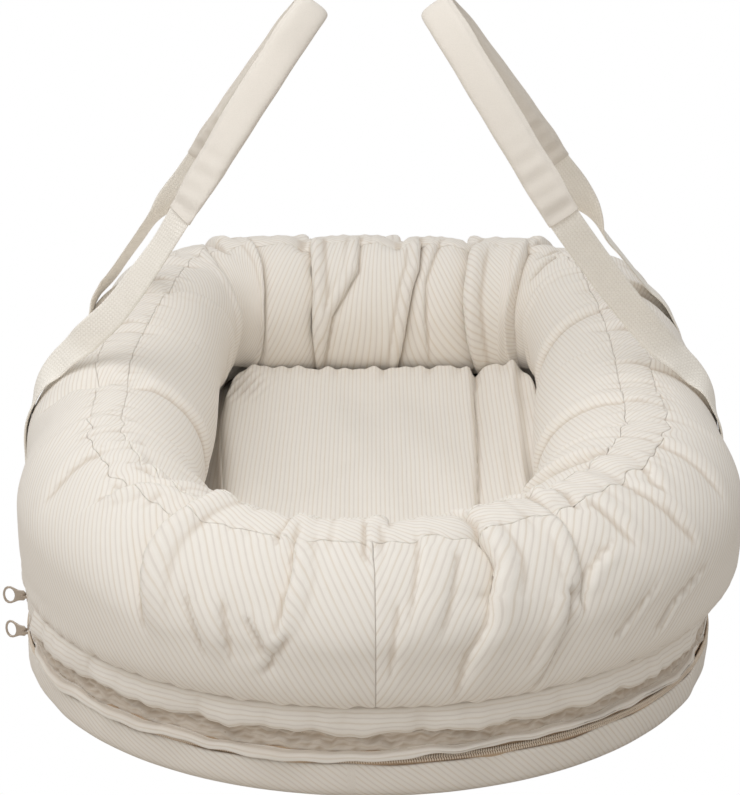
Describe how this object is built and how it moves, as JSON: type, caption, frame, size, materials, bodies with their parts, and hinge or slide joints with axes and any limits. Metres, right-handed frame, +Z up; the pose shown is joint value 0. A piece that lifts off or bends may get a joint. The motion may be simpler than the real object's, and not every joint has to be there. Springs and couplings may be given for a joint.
{
  "type": "infant lounger",
  "caption": "Portable infant lounger: a stuffed oval bumper ring zipped to a shallow mattress tray, with two webbing carry handles that have padded grips.",
  "frame": {"origin": "centre of the footprint, on the surface that the base stands on", "axes": "+Y towards the head end, +X to the right seen from the foot end, +Z up"},
  "size_m": [0.494, 0.7436, 0.4186],
  "materials": {
    "striped_cotton": "matte woven cotton, cream with narrow beige stripes",
    "plain_cotton": "matte plain woven cotton",
    "webbing": "coarse cotton webbing",
    "zip_tape": "woven zip tape with a nylon coil",
    "zip_metal": "matte taupe metal",
    "base_board": "plain stiffening board",
    "fibre_filling": "polyester fibre filling"
  },
  "bodies": {
    "lounger": {"base_tray": "striped_cotton", "base_board": "base_board", "mattress": "striped_cotton", "lower_zip_lower_tape": "zip_tape", "lower_zip_upper_tape": "zip_tape", "upper_zip_lower_tape": "zip_tape", "upper_zip_upper_tape": "zip_tape", "lower_zip_flap": "striped_cotton", "upper_zip_flap": "striped_cotton", "zip_gusset": "striped_cotton", "bumper_outer_right": "striped_cotton", "bumper_outer_left": "striped_cotton", "bumper_crest_band": "striped_cotton", "bumper_inner_panel": "striped_cotton", "bumper_filling": "fibre_filling", "left_strap_near": "webbing", "left_strap_far": "webbing", "right_strap_near": "webbing", "right_strap_far": "webbing"},
    "left_handle": {"left_handle_webbing": "webbing", "left_grip_sleeve": "plain_cotton"},
    "right_handle": {"right_handle_webbing": "webbing", "right_grip_sleeve": "plain_cotton"},
    "lower_slider": {"lower_zip_slider": "zip_metal"},
    "lower_pull": {"lower_zip_pull": "zip_metal"},
    "upper_slider": {"upper_zip_slider": "zip_metal"},
    "upper_pull": {"upper_zip_pull": "zip_metal"}
  },
  "joints": [
    {"name": "left_handle_swing", "type": "hinge", "parent": "lounger", "child": "left_handle", "pos_m": [-0.23524, 0.07809, 0.13997], "axis": [0.0351, 0.9994, 0.0059], "range_deg": [-140, 2]},
    {"name": "right_handle_swing", "type": "hinge", "parent": "lounger", "child": "right_handle", "pos_m": [0.23524, 0.07809, 0.13997], "axis": [-0.0351, 0.9994, 0.0059], "range_deg": [-2, 140]},
    {"name": "lower_zip_travel", "type": "hinge", "parent": "lounger", "child": "lower_slider", "pos_m": [0, -0.132, 0.0275], "axis": [0, 0, 1], "range_deg": [0, 160]},
    {"name": "upper_zip_travel", "type": "hinge", "parent": "lounger", "child": "upper_slider", "pos_m": [0, -0.132, 0.043], "axis": [0, 0, 1], "range_deg": [0, 166]},
    {"name": "lower_pull_flip", "type": "hinge", "parent": "lower_slider", "child": "lower_pull", "pos_m": [-0.22473, -0.17977, 0.0275], "axis": [0, 0, 1], "range_deg": [-53, 117]},
    {"name": "upper_pull_flip", "type": "hinge", "parent": "upper_slider", "child": "upper_pull", "pos_m": [-0.22849, -0.15601, 0.043], "axis": [0, 0, 1], "range_deg": [-73, 97]}
  ]
}
